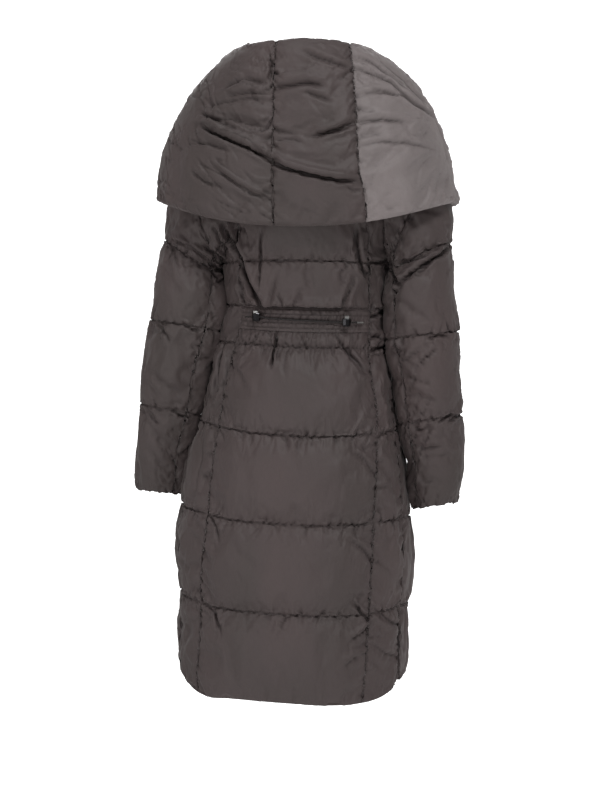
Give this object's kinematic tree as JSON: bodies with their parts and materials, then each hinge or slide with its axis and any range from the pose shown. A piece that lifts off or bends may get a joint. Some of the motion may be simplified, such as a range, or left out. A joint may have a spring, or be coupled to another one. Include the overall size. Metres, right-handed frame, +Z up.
{
  "type": "long puffer coat",
  "caption": "Long quilted puffer coat as worn, with a wide padded hood collar worn down, a gathered back waist with a drawcord and cord locks, and side vents.",
  "frame": {"origin": "middle of the shoulder line, where a wearer's shoulders hold the coat up", "axes": "+Z up, the front faces -Y, +X is the wearer's left"},
  "size_m": [0.546, 0.3288, 1.0525],
  "materials": {
    "shell": "satin woven polyester, taupe grey",
    "casing": "satin woven polyester, gathered",
    "cord": "braided round cord",
    "dark_metal": "dark gunmetal, faceted",
    "bright_metal": "polished"
  },
  "bodies": {
    "coat": {"back_upper": "shell", "waist_casing": "casing", "back_lower": "shell", "side_back_left": "shell", "side_back_right": "shell", "front_left": "shell", "front_right": "shell", "front_fly": "shell", "sleeve_left_upper": "shell", "sleeve_left_under": "shell", "sleeve_right_upper": "shell", "sleeve_right_under": "shell", "collar_centre": "shell", "collar_left": "shell", "collar_right": "shell", "drawcord": "cord", "cord_tip": "bright_metal", "lock_left_body": "dark_metal", "lock_right_body": "dark_metal"},
    "plunger_left": {"lock_left_plunger": "bright_metal"},
    "plunger_right": {"lock_right_plunger": "bright_metal"}
  },
  "joints": [
    {"name": "lock_left_press", "type": "slide", "parent": "coat", "child": "plunger_left", "axis": [0, 0, -1], "range_m": [0, 0.0025], "stiffness_N_per_m": 600, "springref_m": -0.002},
    {"name": "lock_right_press", "type": "slide", "parent": "coat", "child": "plunger_right", "axis": [0, 0, -1], "range_m": [0, 0.0025], "stiffness_N_per_m": 600, "springref_m": -0.002}
  ]
}
